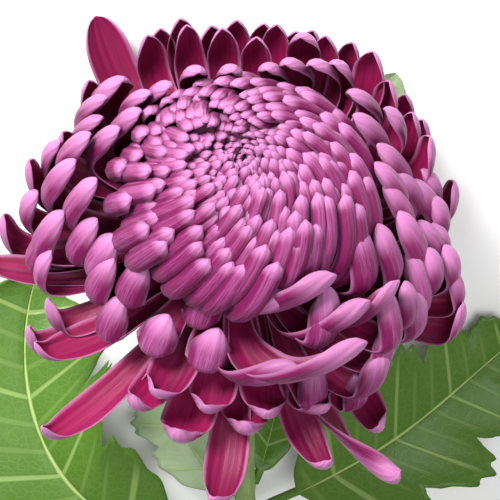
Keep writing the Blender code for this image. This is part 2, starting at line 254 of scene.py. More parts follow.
# The bracts behind the florets, from the innermost to the outermost: share, tip radius and lift, tip angle, width.
BRACT_STAGES = (
    (0.0, 16.0, -7.0, 30.0, 5.4),
    (0.5, 13.6, -9.4, 42.0, 4.8),
    (1.0, 10.4, -12.0, 30.0, 3.6),
)
BRACT_COUNT = 42
BRACT_MOULDS = 6
BRACT_STATIONS = 14
BRACT_ACROSS = 7
BRACT_CUP_OUTLINE = (
    (0.0, -6.8), (9.0, -6.8), (12.0, -7.6), (12.6, -8.6), (9.3, -11.8), (4.4, -14.4), (0.0, -14.4)
)
RECEPTACLE_OUTLINE = (
    (0.0, 3.7), (5.0, 3.6), (7.6, 2.4), (9.4, 0.0), (10.4, -3.0), (10.0, -5.4), (8.2, -6.5), (0.0, -6.5)
)
RECEPTACLE_SIDES = 48

# The stem, the same as in the part
STEM_TOP = -14.5
STEM_NECK_RADIUS = 2.5
STEM_CUT_RADIUS = 3.2
STEM_REACH = 182.0
STEM_LEAD = 45.0
STEM_REST = 62.0

# Where a leaf grows the stem swells, and at its cut it rounds off. Its ribs stay this far inside the part's stem.
NODE_SWELLING = 0.35
NODE_SPAN = 0.012
CUT_ROUNDING = 0.35
RIB_ALLOWANCE = 0.18
STEM_STATIONS = 120
STEM_SIDES = 70

# One row for each leaf, the same as in the part: its name, how far along the stem it grows, the side it grows to, the
# bearing of its midrib from the stem's direction at the petiole and at the tip, length, width and greatest rise, then
# how many lobes it has on a side, how much its margin waves, and whether its pale underside is turned up.
LEAVES = (
    ("leaf_left", 0.66, 1, 90, 200, 118, 62, 14, 4, 2.6, False),
    ("leaf_right", 0.60, -1, 122, 126, 96, 48, 10, 4, 2.4, False),
    ("leaf_pale", 0.585, 1, 140, 156, 47, 22, 4, 3, 1.0, True),
    ("leaf_under", 0.54, -1, 158, 166, 27, 13, 1, 2, 0.6, False),
    ("leaf_low", 0.86, -1, 50, 76, 74, 38, 8, 3, 1.8, False),
    ("leaf_front", 0.27, -1, 150, 156, 86, 26, 0, 3, 0.8, True),
)

# How finely leaves are drawn, their petioles, their fold along the midrib, and how far they keep from the table
LEAF_STATIONS = 110
LEAF_ACROSS = 27
PETIOLE_SHARE = 0.16
PETIOLE_WIDTH = 2.6
PETIOLE_SEAT = 0.2
LEAF_FOLD = 0.16
SIDE_VEIN_ANGLE = math.radians(36)
LEAF_THINNEST = 0.3
LEAF_TIP_CLEARANCE = 0.55
LEAF_CLEARANCE = 0.15
STEM_CLEARANCE = 0.12

# The markings of a floret: how fine its streaks are across and along it and how far they differ from floret to floret,
# and the number of ridges on its back
WIDE_STREAKS = (24.0, 3.0, 61.0)
FINE_STREAKS = (64.0, 12.0, 23.0)
BACK_RIDGES = 5

# From what share of its length a floret's back is palest, partly a painted highlight, how much deeper it is at its
# foot, partly painted shade, and all over
SEPARATE_LOOK = (0.82, 0.62, 0.30)
CROWD_LOOK = (0.91, 0.70, 0.42)

# Where the head's middle lies in the picture, in pixels from its top left, and the scale there
PICTURE_SIDE = 500
HEAD_IN_PICTURE = (245, 240)
PIXELS_PER_MM = 3.83

# The table, a hair under the flower so that nothing dips into it, and the light from all round
HALF_TABLE = 3.0
TABLE_GAP = 0.0002
WORLD_STRENGTH = 0.36


def linear(code):
    """The linear colour of a six-figure hex code."""
    parts = [int(code[place : place + 2], 16) / 255 for place in (0, 2, 4)]
    return tuple(part / 12.92 if part <= 0.04045 else ((part + 0.055) / 1.055) ** 2.4 for part in parts)


def with_alpha(colour):
    return (colour[0], colour[1], colour[2], 1.0)


def colour_property(name, description, code):
    return FloatVectorProperty(name=name, description=description, default=linear(code), subtype="COLOR")


def length_property(name, description, default):
    return FloatProperty(name=name, description=description, default=default, unit="LENGTH")


class FloretSettings(bpy.types.PropertyGroup):
    skin: length_property("Blade thickness", "Thickness of a floret along its middle", 0.00055)
    ripple: length_property("Ripple", "Height of the waves along a floret's margins", 0.00025)
    back_pale: colour_property("Back, pale", "Lilac pink of the backs", "B0609A")
    # The streak magenta also colours the painted shade on the sides and feet of the backs
    back_deep: colour_property("Back, streaks", "Magenta of the streaks on the backs", "6C0E48")
    face_deep: colour_property("Face, deep", "Dark crimson of the inner faces", "660E38")
    face_bright: colour_property("Face, bright", "Crimson of the inner faces in their paler streaks", "90104A")
    # The margin pink also colours the painted highlight at the tips of the backs
    margin: colour_property("Margin", "Pale pink of the florets' margins and tips", "C88EBC")


class CrowdSettings(bpy.types.PropertyGroup):
    count: IntProperty(
        name="Inner florets", description="How many florets make the crowded centre", default=330, min=60
    )
    tilt: FloatProperty(
        name="Tilt",
        description="How far a floret strays from its place",
        default=math.radians(0.9),
        subtype="ANGLE",
    )
    variety: FloatProperty(
        name="Size variety",
        description="How much the florets differ in size",
        default=0.045,
        subtype="FACTOR",
    )
    seed: IntProperty(name="Seed", description="Seed of the strays", default=4)


class LeafSettings(bpy.types.PropertyGroup):
    skin: length_property("Blade thickness", "Thickness of a leaf between its veins", 0.00045)
    lobe_depth: FloatProperty(
        name="Lobe depth",
        description="Share of the width that the gaps between lobes take",
        default=0.46,
        subtype="FACTOR",
    )
    top: colour_property("Top", "Green of a leaf's top", "4C7220")
    top_dark: colour_property("Top, dark", "Darker green between the veins", "4A701E")
    vein: colour_property("Veins", "Pale green of the veins", "9CB66C")
    under: colour_property("Underside", "Grey green of a leaf's underside", "9CB08C")


class StemSettings(bpy.types.PropertyGroup):
    ribs: IntProperty(name="Ribs", description="How many ribs run along the stem", default=7)
    rib_depth: length_property("Rib depth", "Height of a rib", 0.00022)
    skin: colour_property("Skin", "Green of the stem", "6E8C48")
    pith: colour_property("Pith", "Pale pith at the cut", "DCE0B8")
    bract: colour_property("Bracts", "Green of the bracts", "5E7C34")


class StageSettings(bpy.types.PropertyGroup):
    floor_colour: FloatVectorProperty(
        name="Table", description="Colour of the table", default=(0.98, 0.98, 0.98), subtype="COLOR"
    )
    camera_rise: FloatProperty(
        name="Camera above the table",
        description="Angle between the view and the table",
        default=math.radians(65),
        subtype="ANGLE",
    )
    picture_width: length_property("Picture width", "Width of the picture at the head", 0.1305)
    camera_distance: length_property("Camera distance", "Distance from the camera to the head", 0.62)


# Places and turns


def head_matrix():
    """The head's own frame, in millimetres, to the frame of the table in metres."""
    sine, cosine = math.sin(FACE_TURNED_UP), math.cos(FACE_TURNED_UP)
    turn = Matrix(((-1.0, 0.0, 0.0), (0.0, -sine, -cosine), (0.0, -cosine, sine))).transposed().to_4x4()
    place = Vector(ORIGIN_SHIFT) + Vector((0.0, 0.0, HEAD_HEIGHT))
    return Matrix.Scale(MM, 4) @ Matrix.Translation(place) @ turn


def table_matrix():
    """The part's own millimetres, before its origin is centred, to metres."""
    return Matrix.Scale(MM, 4) @ Matrix.Translation(Vector(ORIGIN_SHIFT))


def smooth(value):
    held = np.clip(value, 0.0, 1.0)
    return held * held * (3.0 - 2.0 * held)


def heading(degrees):
    return np.array((math.cos(math.radians(degrees)), math.sin(math.radians(degrees))))


def unit(vectors):
    return vectors / np.linalg.norm(vectors, axis=-1, keepdims=True)


def bezier(controls, share):
    """Points of the cubic through four control points, at an array of shares."""
    share = np.asarray(share, float)[:, None]
    rest = 1.0 - share
    a, b, c, d = (np.asarray(point, float) for point in controls)
    return a * rest**3 + b * 3 * rest**2 * share + c * 3 * rest * share**2 + d * share**3


def add_piece(name, mesh, materials, replaced):
    """Links a finished mesh, hides the part that it stands in for, and sets it on the root body."""
    mesh.materials.clear()
    for material in materials:
        mesh.materials.append(material)
    piece = bpy.data.objects.new(name, mesh)
    bpy.context.scene.collection.objects.link(piece)
    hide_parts(replaced)
    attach(piece, "root")
    return piece


# Closed skins, for florets, bracts and leaves


def closed_mesh(name, skins, uv_name, toned=True):
    """One mesh of closed skins, each given as its upper and lower points, its places across and along, and its tone.

    The map runs along each skin in v. In u it crosses the upper side from 0 to 0.5 and comes back below to 1. Faces of
    the upper side take the first material and the others take the second.
    """
    points, quads, uvs, caps, tones, sides = [], [], [], [], [], []
    offset = 0
    for upper, lower, across, along, tone in skins:
        stations, steps = upper.shape[:2]
        around = 2 * steps
        points.append(np.concatenate((upper, lower[:, ::-1]), axis=1).reshape(-1, 3))
        corner = np.arange(around)
        beside = (corner + 1) % around
        row = offset + np.arange(stations - 1)[:, None] * around
        rings = (row + corner, row + beside, row + around + beside, row + around + corner)
        quads.append(np.stack(rings, -1).reshape(-1, 4))
        over = (across + 1.0) / 4.0
        turn = np.concatenate((over, 1.0 - over[::-1]))
        left, right = turn, np.concatenate((turn[1:], (1.0,)))
        low, high = along[:-1, None], along[1:, None]
        size = (stations - 1, around)
        corners = ((left, low), (right, low), (right, high), (left, high))
        places = [np.stack([np.broadcast_to(part, size) for part in pair], -1) for pair in corners]
        uvs.append(np.stack(places, 2).reshape(-1, 2))
        sides.append(np.broadcast_to(corner >= steps - 1, size).reshape(-1))
        last = offset + stations * around
        caps.append(list(range(offset + around - 1, offset - 1, -1)))
        caps.append(list(range(last - around, last)))
        tones.append(np.full(stations * around, tone))
        offset = last
    quads = np.concatenate(quads)
    mesh = bpy.data.meshes.new(name)
    mesh.from_pydata(np.concatenate(points).tolist(), [], quads.tolist() + caps)
    flat = [np.concatenate(uvs)]
    for number, cap in enumerate(caps):
        flat.append(np.tile((0.75, float(number % 2)), (len(cap), 1)))
    layer = mesh.uv_layers.new(name=uv_name)
    layer.data.foreach_set("uv", np.concatenate(flat).astype(np.float32).reshape(-1))
    side = np.concatenate(sides + [np.ones(len(caps), bool)])
    mesh.polygons.foreach_set("material_index", side.astype(np.int32))
    if toned:
        tone = mesh.attributes.new("tone", "FLOAT", "POINT")
        tone.data.foreach_set("value", np.concatenate(tones).astype(np.float32))
    mesh.shade_smooth()
    return mesh


def turned_mesh(name, outline, sides):
    """A closed mesh spun round the flower's axis from a profile of (radius, lift)."""
    shape = bmesh.new()
    points = [shape.verts.new((radius, 0.0, lift)) for radius, lift in outline]
    edges = [shape.edges.new(pair) for pair in zip(points, points[1:])]
    around = {"cent": (0.0, 0.0, 0.0), "axis": (0.0, 0.0, 1.0), "angle": 2.0 * math.pi, "steps": sides}
    bmesh.ops.spin(shape, geom=points + edges, use_merge=True, **around)
    bmesh.ops.remove_doubles(shape, verts=shape.verts, dist=0.01)
    bmesh.ops.recalc_face_normals(shape, faces=shape.faces)
    mesh = bpy.data.meshes.new(name)
    shape.to_mesh(mesh)
    shape.free()
    mesh.shade_smooth()
    return mesh


def with_core(mesh, core):
    """Adds the faces of a core to a mesh and removes the core."""
    joined = bmesh.new()
    joined.from_mesh(mesh)
    joined.from_mesh(core)
    joined.to_mesh(mesh)
    joined.free()
    bpy.data.meshes.remove(core)


def midrib(shape, stations):
    """(radius, lift) along a floret and the unit heading at each, closer together near its hooked tip."""
    base, tip = np.array(shape["base"], float), np.array(shape["tip"], float)
    span = np.linalg.norm(tip - base)
    first = base + heading(shape["out"]) * span * shape["hold"]
    last = tip - heading(shape["end"]) * span * shape["end_hold"]
    curve = bezier((base, first, last, tip), np.linspace(0.0, 1.0, CURVE_STEPS))
    turned = np.radians(shape["end"] + shape["hook"] * ((np.arange(HOOK_STEPS) + 0.5) / HOOK_STEPS))
    bow = np.stack((np.cos(turned), np.sin(turned)), 1) * shape["hook_length"] / HOOK_STEPS
    arc = tip + np.cumsum(bow, axis=0)
    line = np.vstack((curve, arc))
    run = np.concatenate(((0.0,), np.cumsum(np.linalg.norm(np.diff(line, axis=0), axis=1))))
    even = run[-1] * closing(stations)
    points = np.stack([np.interp(even, run, line[:, axis]) for axis in (0, 1)], 1)
    return points, unit(np.gradient(points, axis=0))


def closing(stations):
    """Shares from 0 to 1 that lie closer together towards 1."""
    return 1.0 - (1.0 - np.linspace(0.0, 1.0, stations)) ** TIP_CLOSENESS


def blade(shape, stations, across):
    """The closed skin of one channelled floret in the head's frame."""
    points, ahead = midrib(shape, stations)
    share = closing(stations)
    azimuth = np.radians(shape["azimuth"] + shape["lean"] * share ** shape["sweep"])
    radial = np.stack((np.cos(azimuth), np.sin(azimuth), np.zeros(stations)), 1)
    axis = np.array((0.0, 0.0, 1.0))
    spine = radial * points[:, :1] + axis * points[:, 1:]
    tangent = unit(np.gradient(spine, axis=0))
    normal = -radial * ahead[:, 1:] + axis * ahead[:, :1]
    normal = unit(normal - tangent * (normal * tangent).sum(1, keepdims=True))
    side = np.cross(tangent, normal)
    twist = np.radians(shape["twist"] * share**2)[:, None]
    level, upright = np.cos(twist), np.sin(twist)
    normal, side = normal * level + side * upright, side * level - normal * upright

    breadth = shape["foot"] + (1.0 - shape["foot"]) * smooth(share / shape["widest_at"])
    into = np.clip((share - shape["round_from"]) / (1.0 - shape["round_from"]), 0.0, 1.0)
    breadth *= 0.06 + 0.94 * np.sqrt(np.clip(1.0 - into ** shape["roundness"], 0.0, 1.0))
    channel = np.radians(shape["cup"])
    closed = np.radians(shape["hood"]) * smooth((share - 0.72) / 0.25)
    cup = channel * (0.75 + 0.25 * smooth(share / 0.4)) + closed
    half = shape["width"] / 2.0 * breadth
    spread = np.linspace(-1.0, 1.0, across)
    angle = cup[:, None] * spread[None, :]
    bend = (half / np.sin(min(channel, math.pi / 2)) * channel / cup)[:, None]
    wave = np.sin(2 * math.pi * (shape["waves"] * share + shape["phase"]))
    wave = wave * smooth(share / 0.4) * (1.0 - smooth((share - 0.9) / 0.1))
    ripple = shape["ripple"] * wave[:, None] * spread**2
    skin = shape["skin"] * (1.0 - 0.7 * spread**2)[None, :] * (0.55 + 0.45 * smooth(share / 0.3))[:, None]
    facing = normal[:, None, :] * np.cos(angle)[..., None] - side[:, None, :] * np.sin(angle)[..., None]
    middle = (
        spine[:, None, :]
        + side[:, None, :] * (bend * np.sin(angle))[..., None]
        + normal[:, None, :] * (bend * (1.0 - np.cos(angle)))[..., None]
        + facing * ripple[..., None]
    )
    half_skin = facing * skin[..., None] / 2
    return middle + half_skin, middle - half_skin, spread, share, shape["tone"]


def separate_shape(row, chance, settings):
    """The shape of one floret outside the crowd from its row."""
    _number, whorl, azimuth, tip_radius, tip_lift, kind, lean, width = row
    shape = {
        "tip": (tip_radius, tip_lift),
        "azimuth": azimuth,
        "lean": lean,
        "twist": chance.uniform(-12, 12),
        "width": width * chance.uniform(0.95, 1.05),
        "foot": 0.26,
        "widest_at": 0.68,
        "ripple": settings.ripple / MM,
        "waves": chance.uniform(2.0, 3.2),
        "phase": chance.uniform(0, 1),
        "skin": settings.skin / MM,
        "tone": chance.uniform(0, 1),
    }
    shape.update(WHORLS[whorl])
    shape.update(zip(KIND_TERMS, KINDS[kind]))
    shape.update(KIND_EXTRAS.get(kind, {}))
    return shape


# What every mould of a spiral shares: it stands straight, flat along its margins and blunt at its tip
SPIRAL_SHAPE = {
    "azimuth": 0.0,
    "lean": 0.0,
    "sweep": 1.0,
    "twist": 0.0,
    "ripple": 0.0,
    "waves": 2.0,
    "phase": 0.0,
    "tone": 0.5,
    "roundness": 2.6,
}


def staged(stages, share):
    """The values of a table of stages at a share of the way through it."""
    table = np.array(stages)
    return [float(np.interp(share, table[:, 0], table[:, column])) for column in range(1, table.shape[1])]


def crowd_shape(share, skin):
    """The shape of a floret of the crowd at a share of the way out."""
    stage = staged(CROWD_STAGES, share)
    base_radius, base_lift, out, hold, tip_radius, tip_lift, end, end_hold, lean, width = stage
    return SPIRAL_SHAPE | {
        "base": (base_radius, base_lift),
        "out": out,
        "hold": hold,
        "tip": (tip_radius, tip_lift),
        "end": end,
        "end_hold": end_hold,
        "hook": 62.0,
        "hook_length": 0.5 * width,
        "lean": lean,
        "sweep": 1.6,
        "width": width,
        "foot": 0.3,
        "widest_at": 0.6,
        "round_from": 1.0 - 0.075 * (0.6 + width / 6.0),
        "cup": 90.0,
        "hood": 6.0,
        "skin": skin,
    }


def bract_shape(share):
    """The shape of a bract, from the innermost and longest to the outermost and shortest."""
    tip_radius, tip_lift, end, width = staged(BRACT_STAGES, share)
    return SPIRAL_SHAPE | {
        "base": (3.6, -14.2 - 0.6 * share),
        "out": 8.0,
        "hold": 0.36,
        "tip": (tip_radius, tip_lift),
        "end": end,
        "end_hold": 0.3,
        "hook": 14.0,
        "hook_length": 1.2,
        "width": width,
        "foot": 0.6,
        "widest_at": 0.55,
        "round_from": 0.62,
        "cup": 24.0,
        "hood": 10.0,
        "skin": 0.5,
    }


# Nodes, for the spiral and the materials


class Value:
    """One output of a node, which adds, subtracts, multiplies and divides as numbers do."""

    def __init__(self, made, output=0):
        self.socket = made.outputs[output]
        self.tree = self.socket.id_data

    def __add__(self, other):
        return maths("ADD", self, other)

    def __sub__(self, other):
        return maths("SUBTRACT", self, other)

    def __rsub__(self, other):
        return maths("SUBTRACT", other, self)

    def __mul__(self, other):
        return maths("MULTIPLY", self, other)

    def __truediv__(self, other):
        return maths("DIVIDE", self, other)

    def __abs__(self):
        return maths("ABSOLUTE", self)


def fill(made, values):
    """Links a node's inputs, by name or number, to other nodes' outputs, or sets them."""
    for key, value in values.items():
        socket = made.inputs[key]
        if isinstance(value, Value):
            value.tree.links.new(value.socket, socket)
        elif socket.type == "RGBA":
            socket.default_value = with_alpha(value)
        else:
            socket.default_value = value


def node(tree, kind, values=None, **settings):
    """A new node with its settings made and its inputs filled."""
    made = tree.nodes.new(kind)
    for name, setting in settings.items():
        setattr(made, name, setting)
    fill(made, values or {})
    return made


def maths(operation, *values):
    tree = next(value.tree for value in values if isinstance(value, Value))
    return Value(node(tree, "ShaderNodeMath", dict(enumerate(values)), operation=operation))


def combined(*values):
    return Value(node(values[0].tree, "ShaderNodeCombineXYZ", dict(enumerate(values))))


def held(value):
    """Keeps a value from 0 to 1."""
    return Value(node(value.tree, "ShaderNodeClamp", {"Value": value}))


def ramp(value, low, high):
    """A smooth step from 0 at low to 1 at high."""
    ends = {"Value": value, "From Min": low, "From Max": high}
    return Value(node(value.tree, "ShaderNodeMapRange", ends, interpolation_type="SMOOTHSTEP"), "Result")


def mix(share, first, second):
    """A colour that goes from the first to the second by a share."""
    return Value(node(share.tree, "ShaderNodeMix", {0: share, 6: first, 7: second}, data_type="RGBA"), 2)


def noise(vector, scale=1.0, detail=3.0, roughness=0.5):
    values = {"Vector": vector, "Scale": scale, "Detail": detail, "Roughness": roughness}
    return Value(node(vector.tree, "ShaderNodeTexNoise", values), "Fac")


# The golden-angle spiral, for the inner florets and the bracts


def spiral_tree(name, material):
    """A node tree that sets moulds on a golden-angle spiral, the first mould at the start and the last at the end."""
    tree = bpy.data.node_groups.new(name, "GeometryNodeTree")
    sockets = {
        "Moulds": "Collection",
        "Kinds": "Int",
        "Count": "Int",
        "Turn": "Float",
        "Tilt": "Float",
        "Variety": "Float",
        "Seed": "Int",
    }
    for label, kind in sockets.items():
        tree.interface.new_socket(name=label, in_out="INPUT", socket_type="NodeSocket" + kind)
    tree.interface.new_socket(name="Geometry", in_out="OUTPUT", socket_type="NodeSocketGeometry")
    group = tree.nodes.new("NodeGroupInput")
    given = {label: Value(group, label) for label in sockets}
    tilt, variety = given["Tilt"], given["Variety"]

    def chance(low, high, seed_step):
        values = {2: low, 3: high, "Seed": given["Seed"] + seed_step}
        return Value(node(tree, "FunctionNodeRandomValue", values, data_type="FLOAT"), 1)

    index = Value(tree.nodes.new("GeometryNodeInputIndex"))
    points = node(tree, "GeometryNodePoints", {"Count": given["Count"]})
    children = node(
        tree,
        "GeometryNodeCollectionInfo",
        {"Collection": given["Moulds"], "Separate Children": True, "Reset Children": True},
    )
    less = tilt * -1.0
    placed = node(
        tree,
        "GeometryNodeInstanceOnPoints",
        {
            "Points": Value(points),
            "Instance": Value(children),
            "Pick Instance": True,
            "Instance Index": maths("FLOOR", index * given["Kinds"] / given["Count"]),
            "Rotation": combined(
                chance(less, tilt, 1),
                chance(less, tilt, 2),
                index * given["Turn"] + chance(less, tilt, 3) * 2.0,
            ),
            "Scale": chance(1.0 - variety, variety + 1.0, 5),
        },
    )
    toned = node(
        tree,
        "GeometryNodeStoreNamedAttribute",
        {"Geometry": Value(placed), "Name": "tone", "Value": chance(0.0, 1.0, 7)},
        data_type="FLOAT",
        domain="INSTANCE",
    )
    realized = node(tree, "GeometryNodeRealizeInstances", {0: Value(toned)})
    painted = node(tree, "GeometryNodeSetMaterial", {"Geometry": Value(realized), "Material": material})
    node(tree, "NodeGroupOutput", {0: Value(painted)})
    return tree


def spiral_mesh(name, moulds, material, values):
    """The plain mesh that the spiral tree makes from mould meshes."""
    collection = bpy.data.collections.new(name + "_moulds")
    bpy.context.scene.collection.children.link(collection)
    for number, mesh in enumerate(moulds):
        collection.objects.link(bpy.data.objects.new(f"{name}_mould_{number:02d}", mesh))
    tree = spiral_tree(name + "_spiral", material)
    holder = bpy.data.objects.new(name + "_holder", bpy.data.meshes.new(name + "_holder"))
    bpy.context.scene.collection.objects.link(holder)
    modifier = holder.modifiers.new("spiral", "NODES")
    modifier.node_group = tree
    identifiers = {item.name: item.identifier for item in tree.interface.items_tree if item.in_out == "INPUT"}
    given = {"Moulds": collection, "Kinds": len(moulds), "Turn": GOLDEN_ANGLE}
    given.update(values)
    for label, value in given.items():
        modifier[identifiers[label]] = value
    graph = bpy.context.evaluated_depsgraph_get()
    graph.update()
    mesh = bpy.data.meshes.new_from_object(holder.evaluated_get(graph), depsgraph=graph)
    mesh.name = name
    bpy.data.objects.remove(holder)
    for mould in list(collection.objects):
        bpy.data.objects.remove(mould)
    bpy.data.collections.remove(collection)
    bpy.data.node_groups.remove(tree)
    return mesh


# The stem and the leaves


def stem_controls():
    """The stem's end points and handles: down from the head along its axis, then level along the table."""
    axis = np.array((0.0, -math.cos(FACE_TURNED_UP), math.sin(FACE_TURNED_UP)))
    top = np.array((0.0, 0.0, HEAD_HEIGHT)) + axis * STEM_TOP
    cut = np.array((0.0, STEM_REACH, STEM_CUT_RADIUS))
    return top, top - axis * STEM_LEAD, cut - np.array((0.0, STEM_REST, 0.0)), cut


def stem_mesh(settings):
    """A ribbed tube along the stem, a little thicker where a leaf grows, with a pale face at its cut end."""
    share = np.linspace(0.0, 1.0, STEM_STATIONS)
    line = bezier(stem_controls(), share)
    ahead = unit(np.gradient(line, axis=0))
    side = np.tile((1.0, 0.0, 0.0), (STEM_STATIONS, 1))
    above = np.cross(side, ahead)
    radius = STEM_NECK_RADIUS + (STEM_CUT_RADIUS - STEM_NECK_RADIUS) * share
    for row in LEAVES:
        radius = radius + NODE_SWELLING * np.exp(-(((share - row[1]) / NODE_SPAN) ** 2))
    radius = radius - CUT_ROUNDING * np.exp(-(((share - 1.0) / 0.002) ** 2))
    angle = np.linspace(0.0, 2.0 * math.pi, STEM_SIDES, endpoint=False)
    depth = settings.rib_depth / MM
    wander = 0.25 * np.sin(share * 9.0)[:, None]
    rib = depth * (np.abs(np.cos(settings.ribs * (angle[None, :] + wander) / 2.0)) ** 2.5 - 0.6)
    reach = radius[:, None] + rib - RIB_ALLOWANCE
    points = (
        line[:, None]
        + side[:, None] * (reach * np.cos(angle))[..., None]
        + above[:, None] * (reach * np.sin(angle))[..., None]
    )
    points[..., 2] = np.maximum(points[..., 2], STEM_CLEARANCE)
    corner = np.arange(STEM_SIDES)
    beside = (corner + 1) % STEM_SIDES
    row = np.arange(STEM_STATIONS - 1)[:, None] * STEM_SIDES
    rings = (row + corner, row + STEM_SIDES + corner, row + STEM_SIDES + beside, row + beside)
    quads = np.stack(rings, -1).reshape(-1, 4)
    count = STEM_STATIONS * STEM_SIDES
    faces = quads.tolist() + [list(range(STEM_SIDES)), list(range(count - 1, count - 1 - STEM_SIDES, -1))]
    mesh = bpy.data.meshes.new("stem_ribbed")
    mesh.from_pydata(points.reshape(-1, 3).tolist(), [], faces)
    mesh.shade_smooth()
    mesh.set_sharp_from_angle(angle=math.radians(50))
    mesh.polygons[len(faces) - 1].material_index = 1
    return mesh


def leaf_skin(row, settings):
    """The closed skin of one lobed leaf. Its side rows run forward like its side veins, one to each lobe."""
    _name, along, side, bearing, tip_bearing, length, widest, rise, lobes, wave, _pale = row
    seat = bezier(stem_controls(), [along])[0]
    radius = STEM_NECK_RADIUS + (STEM_CUT_RADIUS - STEM_NECK_RADIUS) * along
    seat[0] += side * (radius - PETIOLE_SEAT)
    share = np.linspace(0.0, 1.0, LEAF_STATIONS)
    turn = np.radians(bearing + (tip_bearing - bearing) * share)
    steps = np.stack((side * np.sin(turn), np.cos(turn)), 1) * length / (LEAF_STATIONS - 1)
    flat = np.vstack((seat[:2], seat[:2] + np.cumsum(steps[1:], axis=0)))
    height = seat[2] + (LEAF_TIP_CLEARANCE - seat[2]) * smooth(share) + rise * np.sin(math.pi * share) ** 1.5
    line = np.column_stack((flat, height))
    ahead = unit(np.gradient(line, axis=0))
    right = unit(np.cross(ahead, (0.0, 0.0, 1.0)))
    above = np.cross(right, ahead)

    into = np.clip((share - PETIOLE_SHARE) / (1.0 - PETIOLE_SHARE), 0.0, 1.0)
    order = into**1.1
    body = np.sin(math.pi * into**0.8).clip(0.0) ** 0.7
    lobe = np.abs(np.sin(math.pi * lobes * order)) ** 0.6
    teeth = 1.0 + 0.05 * np.sin(2 * math.pi * lobes * 4 * order + 0.8)
    half = PETIOLE_WIDTH / 2 + widest / 2 * body * (1.0 - settings.lobe_depth * (1.0 - lobe)) * teeth
    half *= 1.0 - 0.9 * smooth((share - 0.985) / 0.015)
    blade_share = smooth((share - PETIOLE_SHARE) / 0.2)
    forward = SIDE_VEIN_ANGLE * blade_share
    spread = np.linspace(-1.0, 1.0, LEAF_ACROSS)
    spread = np.sign(spread) * np.abs(spread) ** 1.6
    out = half[:, None] * spread[None, :]
    reach = np.abs(out) * np.tan(forward)[:, None] * (1.0 - 0.8 * share[:, None] ** 3)
    fold = (LEAF_FOLD * blade_share * (1.0 - smooth((share - 0.8) / 0.2)))[:, None] * np.abs(out)
    edge = np.abs(spread)[None, :]
    ruffle = wave * edge**2 * np.sin(2 * math.pi * (2.6 * share[:, None] + 0.21 * np.sign(spread)[None, :]))
    quilt = 0.35 * edge * (1.0 - edge) * np.cos(2 * math.pi * lobes * order)[:, None]
    groove = -0.5 * np.exp(-((out / 1.4) ** 2))
    lift = fold + (ruffle + quilt + groove) * blade_share[:, None]
    middle = (
        line[:, None]
        + right[:, None] * out[..., None]
        + ahead[:, None] * reach[..., None]
        + above[:, None] * lift[..., None]
    )
    stalk = (1.0 - blade_share)[:, None] * np.sqrt(np.clip(1.0 - spread**2, 0.0, 1.0))[None, :]
    rib = (1.0 - 0.8 * share)[:, None] * np.exp(-(out**2)) * blade_share[:, None]
    skin = settings.skin / MM / 2.0
    upper = middle + above[:, None] * (skin + 0.9 * stalk)[..., None]
    lower = middle - above[:, None] * (skin + 0.9 * stalk + rib)[..., None]
    lower[..., 2] = np.maximum(lower[..., 2], LEAF_CLEARANCE)
    upper[..., 2] = np.maximum(upper[..., 2], lower[..., 2] + LEAF_THINNEST)
    return upper, lower, spread, order, 0.5


# Materials


def new_material(name, roughness=0.5):
    material = bpy.data.materials.new(name)
    material.use_nodes = True
    tree = material.node_tree
    tree.nodes.clear()
    shader = node(tree, "ShaderNodeBsdfPrincipled", {"Roughness": roughness})
    node(tree, "ShaderNodeOutputMaterial", {0: Value(shader)})
    return material, tree, shader


def add_bump(shader, height, distance, strength=0.6):
    values = {"Height": height, "Distance": distance, "Strength": strength}
    fill(shader, {"Normal": Value(node(height.tree, "ShaderNodeBump", values))})


def map_places(tree, uv_name):
    """The places across and along from a map: whether it is the lower side, the place across from 0 to 1, and v."""
    split = node(tree, "ShaderNodeSeparateXYZ", {0: Value(node(tree, "ShaderNodeUVMap", uv_map=uv_name))})
    around, along = Value(split, 0), Value(split, 1)
    return maths("GREATER_THAN", around, 0.5), 1.0 - abs(around * 2.0 - 1.0), along


